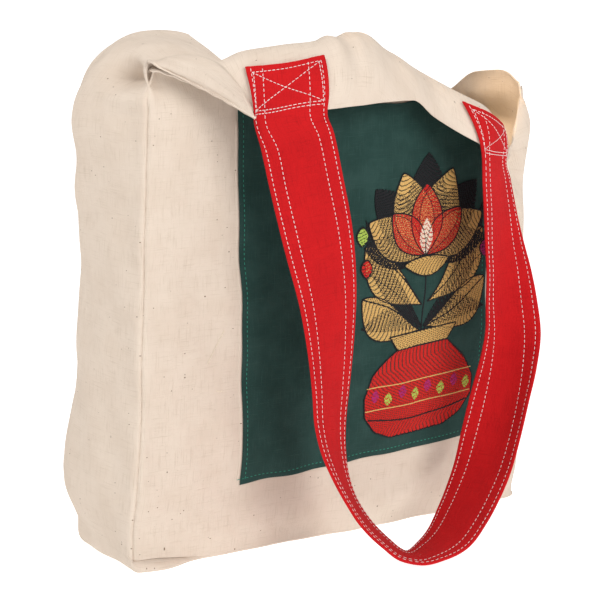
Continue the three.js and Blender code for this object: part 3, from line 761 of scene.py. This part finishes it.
def gusset_strip():
    """One strip of cloth: down the left end, across the base and up the right end."""
    f = spread(0, GUSSET, FINE_STEP)[::-1] / GUSSET
    a = spread(0, PANEL, BASE_STEP, BASE_NEAR) / PANEL
    ends, heights = [], []
    for at, order in ((SEAMS[0] + GUSSET * f, 1), (BACK_RIGHT - GUSSET * f, -1)):
        top = top_of(at)
        height = (top + (foot_of(at) - top) * END_ROWS[:, None])[::order]
        heights.append(height)
        ends.append(cloth(np.broadcast_to(at, height.shape), height)[0])
    points = np.concatenate([ends[0], base(*np.meshgrid(a, f, indexing="ij")), ends[1]])
    normals = grid_normals(points)
    n = len(END_ROWS)
    for column, left_seam, right_seam in ((0, FRONT_LEFT, FRONT_RIGHT), (-1, SEAMS[0], BACK_RIGHT)):
        mitre(normals, slice(0, n), heights[0][:, column], column, left_seam, -1, 1)
        mitre(normals, slice(-n, None), heights[1][:, column], column, right_seam, -1, 1)
    length = run_length(points[:, len(f) // 2])
    uv = np.stack(np.broadcast_arrays(GUSSET * f[None, :], length[:, None]), -1)
    return sheet("gusset_cloth", points, normals, CANVAS / 2, uv, canvas)


gusset = gusset_strip()

# Patch: distance of its seam from its edges, waves of its hem by depth, length and phase, its closest columns
# and rows at the edges, and how far it stands off the canvas
PATCH_INSET = 4
PATCH_HEM = ((0.35, 7.5, 0), (0.3, 17, 1))
PATCH_COLUMNS = (0, 0.35, 0.9, 1.7, 2.8, 4, 5.2, 6.6)
PATCH_ROWS = (0, 0.0013, 0.0034, 0.0065, 0.0105, 0.015, 0.0195, 0.026)
PATCH_ROW_STEP = 0.0105
PATCH_GAP = {"edge": 0.25, "more": 0.35, "over": 1.2, "sewn": 0.25, "sewn_wide": 1.1}


def patch_low(at):
    share = (at - PATCH["left"]) / (PATCH["right"] - PATCH["left"])
    wavy = sum(deep * np.sin(at / length + phase) for deep, length, phase in PATCH_HEM)
    return PATCH["low_left"] + (PATCH["low_right"] - PATCH["low_left"]) * share + wavy


def patch_top(at):
    left_share = np.clip((PATCH["right"] - at) / (PATCH["right"] - PATCH["left"]), 0, 1)
    crown = profile(at)["to_crown"]
    return np.minimum(PATCH["top"] + PATCH["hidden"] * left_share, crown - PATCH["under_crown"])


def patch_sheet():
    """The patch, pressed to the canvas at its turned edges and its seam."""
    places = spread(PATCH["left"], PATCH["right"], FINE_STEP, PATCH_COLUMNS)
    shares = spread(0, 1, PATCH_ROW_STEP, PATCH_ROWS)
    low, high = patch_low(places), patch_top(places)
    height = low + (high - low) * shares[:, None]
    column = np.broadcast_to(places, height.shape)
    at = leaned(column, height)
    points, normals = cloth(at, height)
    inside = np.minimum(np.minimum(column - PATCH["left"], PATCH["right"] - column), height - low)
    sewn = bell((inside - PATCH_INSET) / PATCH_GAP["sewn_wide"])
    gap = PATCH_GAP["edge"] + PATCH_GAP["more"] * (1 - np.exp(-inside / PATCH_GAP["over"]))
    points = points + normals * (CANVAS / 2 + PATCH_CLOTH / 2 + gap - PATCH_GAP["sewn"] * sewn)[..., None]
    uv = np.stack([at, height], -1)
    return sheet("patch_cloth", points, grid_normals(points), PATCH_CLOTH / 2, uv, green)


patch = patch_sheet()


# Straps: distance of both rows of stitches from each edge, columns across, step along and rows of a sewn end
EDGE_ROW = 3.0
INNER_ROW = 11.2
HALF_STRAP = np.array([0, 0.35, 0.9, 1.8, EDGE_ROW, 4.2, 6, 8.5, 10, INNER_ROW, 12.6, 16, 20, 24])
STRAP_ACROSS = np.concatenate([HALF_STRAP, [STRAP_WIDTH / 2], STRAP_WIDTH - HALF_STRAP[::-1]])
STRAP_STEP = 2.4
SEWN_ROWS = 6


def strap_half(across, thin=0.6, thin_wide=0.6, pinched=0.22, pinch_wide=0.9):
    """Half thickness: thin rounded edges, and pinched where the stitches run."""
    edge = np.minimum(across, STRAP_WIDTH - across)

    def near(row, wide):
        return bell((edge - row) / wide)

    pinch = near(EDGE_ROW, pinch_wide) + near(INNER_ROW, pinch_wide)
    return STRAP_CLOTH / 2 * (1 - thin * near(0, thin_wide) - pinched * pinch)


def sewn_end(end, side):
    """Rows of points of a sewn end, down to the rim."""
    down = np.linspace(0, 1, SEWN_ROWS)[:, None]
    from_middle = side * (STRAP_ACROSS - STRAP_WIDTH / 2)
    places = end["at"] + end["shift"] * down + from_middle * (1 - end["gather"] * down)
    height = top_of(places) - end["sewn"] * (1 - down)
    flat_points, flat_normals = cloth_at(places.ravel(), height.ravel())
    return (flat_points - flat_normals * STRAP_OFF).reshape(height.shape + (3,))


def free_run(run):
    """Rows of points from the outer to the inner edge at each station of a strap."""
    middle = np.stack([run[axis] for axis in "xyz"], -1)
    along = unit(np.gradient(middle, axis=0))
    turn = np.radians(run["turn"])
    across = unit(np.stack([np.cos(turn), np.sin(turn), run["rise"]], -1))
    face = unit(np.cross(along, across))
    # A shallow arc spans less than its length.
    width = STRAP_WIDTH - 8 * run["cup"] ** 2 / (3 * STRAP_WIDTH)
    share = STRAP_ACROSS / STRAP_WIDTH
    return (middle[:, None] + across[:, None] * (width[:, None] * (share - 0.5))[..., None]
            + face[:, None] * (run["cup"][:, None] * (0.5 - 4 * share * (1 - share)))[..., None])


def resample(rows):
    """Smooth curve through rows of points, at even steps along the middle."""
    s = run_length(rows[:, rows.shape[1] // 2])
    tangent = np.gradient(rows, s, axis=0)
    want = np.linspace(0, s[-1], round(s[-1] / STRAP_STEP) + 1)
    i = np.clip(np.searchsorted(s, want) - 1, 0, len(s) - 2)
    span = (s[i + 1] - s[i])[:, None, None]
    t = (want - s[i])[:, None, None] / span
    return want, hermite(rows[i], rows[i + 1], tangent[i] * span, tangent[i + 1] * span, t)


class Strap:
    """A strap's surface. Places on it are given across its width and along its length, on face 1 or -1."""

    def __init__(self, name, ends, side, run, shown):
        rows = np.concatenate([sewn_end(ends[0], side), free_run(run), sewn_end(ends[1], -side)[::-1]])
        self.along, self.points = resample(rows)
        self.normals = unit(np.cross(np.gradient(self.points, axis=1), np.gradient(self.points, axis=0)))
        self.length = self.along[-1]
        self.ends = ends
        self.shown = shown
        uv = np.stack(np.broadcast_arrays(STRAP_ACROSS[None, :], self.along[:, None]), -1)
        self.piece = sheet(name, self.points, -self.normals, strap_half(STRAP_ACROSS)[None, :], uv, red)

    def on_face(self, across, along, face, lift):
        """Points and normals on one face."""
        column = np.clip(np.searchsorted(STRAP_ACROSS, across) - 1, 0, len(STRAP_ACROSS) - 2)
        c = (across - STRAP_ACROSS[column]) / (STRAP_ACROSS[column + 1] - STRAP_ACROSS[column])
        step = self.along[1]
        row = np.clip((along / step).astype(int), 0, len(self.along) - 2)
        r = along / step - row

        def between(grid):
            low = grid[row, column] * (1 - c)[:, None] + grid[row, column + 1] * c[:, None]
            high = grid[row + 1, column] * (1 - c)[:, None] + grid[row + 1, column + 1] * c[:, None]
            return low * (1 - r)[:, None] + high * r[:, None]

        normal = unit(between(self.normals)) * face
        return between(self.points) + normal * (strap_half(across) + lift)[:, None], normal


front_strap = Strap("front_strap_cloth", STRAP_ENDS[:2], 1, FRONT_RUN, -1)
back_strap = Strap("back_strap_cloth", STRAP_ENDS[2:], -1, BACK_RUN, 1)


# Threads: length and gap of stitches, width of threads, their lift off the cloth, and points in a line
STRAP_STITCH = (2.5, 1.15)
BOX_STITCH = (2.3, 0.55)
PATCH_STITCH = (2.1, 1.5)
LOOSE_STITCH = (2.6, -0.5)
STRAP_THREAD = 0.52
THIN_THREAD = 0.5
STRAP_LIFT = 0.08
PATCH_LIFT = -0.2
LOOSE_LIFT = 0.25
LINE_POINTS = 60

# A stitch has points at both ends, which lie deeper, and two rings of four points TAPER from them.
TAPER = 0.16
SINK = 0.6
STITCH_FACES = np.array([
    (0, 2, 1), (0, 3, 2), (0, 4, 3), (0, 1, 4), (9, 5, 6), (9, 6, 7), (9, 7, 8), (9, 8, 5),
    (1, 2, 6), (1, 6, 5), (2, 3, 7), (2, 7, 6), (3, 4, 8), (3, 8, 7), (4, 1, 5), (4, 5, 8),
])
STITCH_ALONG = np.repeat([0, TAPER, 1 - TAPER, 1], (1, 4, 4, 1))
STITCH_AROUND = np.array([0.5, 0, 0.5, 1, 0.5, 0, 0.5, 1, 0.5, 0.5])
TEXTURE_SHIFT = 400


def stitch_mesh(name, starts, ends, normals, width, colour):
    """One small rounded thread for each stitch, from its start to its end."""
    along = ends - starts
    side = unit(np.cross(normals, along)) * width / 2
    out = unit(normals) * width / 2
    rings = [spot + way for spot in (starts + along * TAPER, starts + along * (1 - TAPER))
             for way in (side, out, -side, -out)]
    points = np.stack([starts - out * SINK, *rings, ends - out * SINK], 1)
    count = len(starts)
    faces = (STITCH_FACES[None] + 10 * np.arange(count)[:, None, None]).reshape(-1, 3)
    u = np.linalg.norm(along, axis=1)[:, None] * STITCH_ALONG + rng.uniform(0, TEXTURE_SHIFT, count)[:, None]
    v = width * STITCH_AROUND + rng.uniform(0, TEXTURE_SHIFT, count)[:, None]
    uv = np.stack([u, v], -1).reshape(-1, 2)
    return mesh_object(name, points.reshape(-1, 3), faces, uv, threads[colour])


def stitched(path, length, gap, first=0.0, shortest=0.6):
    """Starts and ends of stitches along a path of flat points. The last one may be cut short."""
    path = np.asarray(path, float)
    s = run_length(path)
    begin = np.arange(first, s[-1] - length * shortest, length + gap)
    finish = np.minimum(begin + length, s[-1])
    return [np.stack([np.interp(t, s, path[:, 0]), np.interp(t, s, path[:, 1])], -1) for t in (begin, finish)]


def joined(runs):
    """Runs of stitches as one: all starts, all ends and so on."""
    return [np.concatenate(part) for part in zip(*runs)]


def crossed_box(outer, inner):
    """Lines of the box at a sewn end, as places across the strap and along it from that end."""
    low, high = EDGE_ROW + 0.3, STRAP_WIDTH - EDGE_ROW - 0.3
    return np.array([
        [(low, 4.6), (high, 4.2)],
        [(low, outer - 2.2), (high, inner - 2)],
        [(low - 0.6, outer), (high, inner)],
        [(low, 4.6), (high, inner - 2)],
        [(high, 4.2), (low, outer - 2.2)],
        [(low + 1.1, 4.6), (low + 0.2, outer)],
        [(high - 1.2, 4.2), (high - 0.2, inner - 0.4)],
    ])


def strap_threads(name, strap, margin=1.5, clear=3, wander=0.25):
    """Two rows of stitches along each edge, on both faces, and a crossed box at each sewn end."""
    length, (start, end) = strap.length, strap.ends
    whole = np.linspace(margin, length - margin, LINE_POINTS)
    free = np.linspace(start["sewn"] + clear, length - end["sewn"] - clear, LINE_POINTS)
    shown, hidden = [], []
    for k, across in enumerate((EDGE_ROW, INNER_ROW, STRAP_WIDTH - INNER_ROW, STRAP_WIDTH - EDGE_ROW)):
        wandering = across + wander * np.sin(np.linspace(0, 9 + k, LINE_POINTS))
        shown.append(stitched(np.stack([wandering, whole], -1), *STRAP_STITCH, 0.7 * k))
        hidden.append(stitched(np.stack([wandering, free], -1), *STRAP_STITCH, 0.5 * k))
    shown += [stitched(line, *BOX_STITCH) for line in crossed_box(start["outer"], start["inner"])]
    for line in crossed_box(end["outer"], end["inner"]):
        shown.append(stitched(np.stack([line[:, 0], length - line[:, 1]], -1), *BOX_STITCH))
    pieces = []
    for face, lines in ((strap.shown, shown), (-strap.shown, hidden)):
        starts, ends = joined(lines)
        a, normal = strap.on_face(starts[:, 0], starts[:, 1], face, STRAP_LIFT)
        b, _ = strap.on_face(ends[:, 0], ends[:, 1], face, STRAP_LIFT)
        pieces.append((a, b, normal))
    return stitch_mesh(name, *joined(pieces), STRAP_THREAD, "white")


front_stitches = strap_threads("front_strap_stitches", front_strap)
back_stitches = strap_threads("back_strap_stitches", back_strap)


def patch_threads(name, starts, ends, width, colour, lift):
    """Threads over the patch, from and to places and heights."""
    off = CANVAS / 2 + PATCH_GAP["edge"] + PATCH_GAP["more"] + PATCH_CLOTH
    off = (off + np.broadcast_to(lift, len(starts)))[:, None]
    a, normals = cloth_at(starts[:, 0], starts[:, 1])
    b, end_normals = cloth_at(ends[:, 0], ends[:, 1])
    return stitch_mesh(name, a + normals * off, b + end_normals * off, normals, width, colour)


def patch_seam():
    sides = (PATCH["left"] + PATCH_INSET, PATCH["right"] - PATCH_INSET)
    places = np.linspace(*sides, LINE_POINTS)
    lines = [np.stack([places, patch_low(places) + PATCH_INSET], -1)]
    for side in sides:
        place = np.full(LINE_POINTS, side)
        height = np.linspace(patch_low(side) + PATCH_INSET, patch_top(place)[0] - 2, LINE_POINTS)
        lines.append(np.stack([leaned(place, height), height], -1))
    starts, ends = joined([stitched(line, *PATCH_STITCH) for line in lines])
    return patch_threads("patch_stitches", starts, ends, THIN_THREAD, "teal", PATCH_LIFT)


patch_stitches = patch_seam()


# Embroidery: a bouquet in a jar, drawn in places and heights on the patch
LAYERS = {"first": 0.12, "each": 0.26}
EMBROIDERY_THREAD = {"black": 1.2, "other": 0.9}
sewing = {}


def leaf(low, tip, wide, bend=0.0, full=0.5):
    """Outline of a petal or leaf from its base to its tip, widest at a share of its length."""
    low, tip = np.array(low, float), np.array(tip, float)
    axis = tip - low
    side = np.array([-axis[1], axis[0]]) / np.hypot(*axis)
    t = np.linspace(0, 1, 25)
    half = wide / 2 * np.sin(np.pi * t ** (math.log(0.5) / math.log(full))) ** 0.85
    spine = low + axis * t[:, None] + side * (bend * np.sin(np.pi * t))[:, None]
    return np.concatenate([spine + side * half[:, None], (spine - side * half[:, None])[-2:0:-1]])


def stem(*points):
    """Smooth line through a few points."""
    points = np.array(points, float)
    slope = np.gradient(points, axis=0)
    t = np.linspace(0, len(points) - 1, 40)
    i = np.clip(t.astype(int), 0, len(points) - 2)
    return hermite(points[i], points[i + 1], slope[i], slope[i + 1], (t - i)[:, None])


def add_stitches(colour, level, starts, ends):
    lift = np.full(len(starts), LAYERS["first"] + LAYERS["each"] * level)
    sewing.setdefault(colour, []).append((starts, ends, lift))


def fill(outline, colour, way, level, long=3.6, pitch=0.92, shift=0.37, shortest=0.8, inset=0.12):
    """Rows of stitches inside an outline, each row shifted against the last."""
    angle = math.radians(way)
    turn = np.array([[math.cos(angle), -math.sin(angle)], [math.sin(angle), math.cos(angle)]])
    flat = outline @ turn
    following = np.roll(flat, -1, 0)
    starts, ends = [], []
    for k, y in enumerate(np.arange(flat[:, 1].min() + pitch / 2, flat[:, 1].max(), pitch)):
        crosses = (flat[:, 1] > y) != (following[:, 1] > y)
        a, b = flat[crosses], following[crosses]
        xs = np.sort(a[:, 0] + (b[:, 0] - a[:, 0]) * (y - a[:, 1]) / (b[:, 1] - a[:, 1]))
        for low, high in zip(xs[::2], xs[1::2]):
            cuts = np.arange(low - long * ((k * shift) % 1), high, long) + rng.uniform(-0.3, 0.3)
            cuts = np.concatenate([[low], cuts[(cuts > low + shortest) & (cuts < high - shortest)], [high]])
            for x0, x1 in zip(cuts[:-1], cuts[1:]):
                slant = rng.uniform(-0.12, 0.12)
                starts.append((x0 + inset, y + slant))
                ends.append((x1 - inset, y - slant))
    if starts:
        add_stitches(colour, level, np.array(starts) @ turn.T, np.array(ends) @ turn.T)


def trace(line, colour, level, closed=False, long=2.6, gap=0.1, jitter=0.2):
    """A line of close stitches, doubled so that it reads as a thick outline."""
    if closed:
        line = np.concatenate([line, line[:1]])
    for first in (0.0, long / 2):
        starts, ends = stitched(line, long, gap, first)
        add_stitches(colour, level, starts + rng.uniform(-jitter, jitter, starts.shape), ends)


def shape(outline, colour, way, level, edge="black"):
    fill(outline, colour, way, level)
    if edge:
        trace(outline, edge, level + 0.5, True)


def petal(centre, heading, reach, wide, bend=0.0):
    angle = math.radians(heading)
    tip = (centre[0] + reach * math.cos(angle), centre[1] + reach * math.sin(angle))
    return leaf(centre, tip, wide, bend)


def jar():
    body = np.array([(34, 140), (25, 134), (12, 122), (5, 106), (7, 90), (17, 78), (32, 72),
                     (84, 75), (100, 84), (110, 97), (110, 112), (101, 128), (88, 139), (82, 144)])
    shape(body, "scarlet", 12, 1)
    shape(np.array([(27, 151), (34, 140), (82, 144), (91, 156)]), "gold", 4, 2)
    for k in range(8):
        x, y = 15 + 12.6 * k, 104 + 0.7 * k + 2 * (-1) ** k
        fill(leaf((x, y - 5.5), (x + 1, y + 5.5), 7), "lime" if k % 2 else "magenta", 80, 2)
    for lift in (-9, 9):
        trace(stem((6.5, 104 + lift), (40, 105 + lift), (75, 107 + lift), (109, 109 + lift)), "gold", 2)
    trace(stem((10, 88), (40, 85), (75, 87), (106, 93)), "black", 2)


def bouquet():
    middle = (59, 212)
    for end, bend in (((59, 207), 0), ((2, 204), 9), ((118, 210), -8)):
        trace(stem((57, 150), ((57 + end[0]) / 2 + bend, (152 + end[1]) / 2), end), "black", 0)
    for tip, bend in (((-1, 160), -7), ((119, 166), 7), ((2, 244), 10), ((115, 248), -10)):
        shape(leaf((58, 156), tip, 19, bend), "black", 20, 0, None)
    for low, tip, bend, way in (((55, 154), (-2, 184), 8, 150), ((60, 156), (119, 190), -8, 30),
                                ((56, 174), (2, 224), 8, 130), ((61, 176), (115, 230), -8, 45)):
        shape(leaf(low, tip, 30, bend, 0.6), "gold", way, 0.5)
        half = np.array(low) * 0.5 + np.array(tip) * 0.5 + (0, bend * 0.6)
        trace(stem(low, half, tip), "black", 1.2)
    for heading, reach, wide in ((10, 60, 28), (170, 60, 28), (48, 74, 36), (132, 74, 36), (90, 79, 40)):
        shape(petal(middle, heading, reach, wide), "black", heading + 20, 1.5, None)
    for heading, reach, wide in ((28, 62, 34), (152, 62, 34), (69, 70, 37), (111, 70, 37)):
        shape(petal(middle, heading, reach, wide), "gold", heading - 25, 2)
    for heading, reach, wide in ((46, 48, 26), (134, 48, 26), (90, 56, 30)):
        shape(petal(middle, heading, reach, wide), "scarlet", heading + 60, 3)
    fill(petal(middle, 90, 29, 12), "cream", 90, 4)
    shape(leaf((38, 205), (81, 208), 15, -3), "gold", 10, 3.5)
    for x, y, colour in ((2, 206, "scarlet"), (118, 212, "magenta"), (-2, 231, "lime")):
        shape(leaf((x, y - 7), (x + 1, y + 8), 11), colour, 60, 2)


jar()
bouquet()
for colour, runs in sewing.items():
    starts, ends, lifts = joined(runs)
    width = EMBROIDERY_THREAD.get(colour, EMBROIDERY_THREAD["other"])
    patch_threads("embroidery_" + colour, starts, ends, width, colour, lifts)


def loose_ends():
    """Loose ends of thread on the canvas."""
    lines = (((-132, 148), (-127, 156), (-121, 166), (-118, 172)), ((-124, 128), (-121, 126), (-118, 127)))
    starts, ends = joined([stitched(stem(*line), *LOOSE_STITCH) for line in lines])
    a, normals = cloth_at(starts[:, 0], starts[:, 1])
    b, _ = cloth_at(ends[:, 0], ends[:, 1])
    lift = normals * (CANVAS / 2 + LOOSE_LIFT)
    return stitch_mesh("loose_threads", a + lift, b + lift, normals, THIN_THREAD, "cream")


loose_threads = loose_ends()

# Hide the imported parts that the pieces above stand in for
for piece, name, slot in (
    (front, "front_panel", "canvas"), (back, "back_panel", "canvas"), (gusset, "gusset", "canvas"),
    (patch, "patch", "green_cloth"), (front_strap.piece, "front_strap", "red_cloth"),
    (back_strap.piece, "back_strap", "red_cloth"),
):
    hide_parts(name)

# Floor, light and camera
FLOOR = 16
floor_mesh = bpy.data.meshes.new("floor")
floor_corners = [(-FLOOR, -FLOOR, 0), (FLOOR, -FLOOR, 0), (FLOOR, FLOOR, 0), (-FLOOR, FLOOR, 0)]
floor_mesh.from_pydata(floor_corners, [], [(0, 1, 2, 3)])
floor = bpy.data.objects.new("floor", floor_mesh)
bpy.context.scene.collection.objects.link(floor)
floor_material, floor_tree, floor_shader = new_material("floor_paint")
set_inputs(floor_tree, floor_shader, Base_Color=(0.45, 0.45, 0.45, 1), Roughness=0.9,
           Emission_Color=(1, 1, 1, 1), Emission_Strength=0.95)
floor_mesh.materials.append(floor_material)

world = bpy.data.worlds.new("studio")
bpy.context.scene.world = world
world.use_nodes = True
sky = world.node_tree.nodes["Background"]
set_inputs(world.node_tree, sky, Color=(1, 1, 1, 1), Strength=0.42)


def aimed(name, data, place, direction):
    holder = bpy.data.objects.new(name, data)
    holder.location = place
    holder.rotation_euler = Vector(direction).to_track_quat("-Z", "Y").to_euler()
    bpy.context.scene.collection.objects.link(holder)
    return holder


def lamp(name, kind, place, target, power):
    light = bpy.data.lights.new(name, kind)
    light.energy = power
    aimed(name, light, place, Vector(target) - Vector(place))
    return light


BAG_MIDDLE = (0, 0, 0.2)
for light, size in (
    (lamp("key", "AREA", (0.3, -2.35, 1.5), BAG_MIDDLE, 41), 1.7),
    (lamp("overhead", "AREA", (-1.3, 0.15, 2.2), BAG_MIDDLE, 29), 1.2),
):
    light.shape = "DISK"
    light.size = size

# Warm light on the inside of the right end of the mouth, where light comes through the cloth
glow = lamp("mouth_glow", "SPOT", (-0.7, -0.25, 0.9), (0.183, -0.004, 0.318), 34)
glow.color = (1, 0.64, 0.24)
glow.spot_size = math.radians(6)
glow.spot_blend = 0.7
glow.shadow_soft_size = 0.03

AZIMUTH, PITCH = math.radians(31.68), math.radians(11.57)
camera_data = bpy.data.cameras.new("camera")
camera_data.sensor_width = 36
camera_data.lens = 132
camera_data.clip_end = 50
level = math.cos(PITCH)
looking = (math.sin(AZIMUTH) * level, math.cos(AZIMUTH) * level, -math.sin(PITCH))
camera = aimed("camera", camera_data, (-0.8804, -1.4189, 0.5165), looking)
bpy.context.scene.camera = camera
bpy.context.scene.view_settings.view_transform = "Standard"
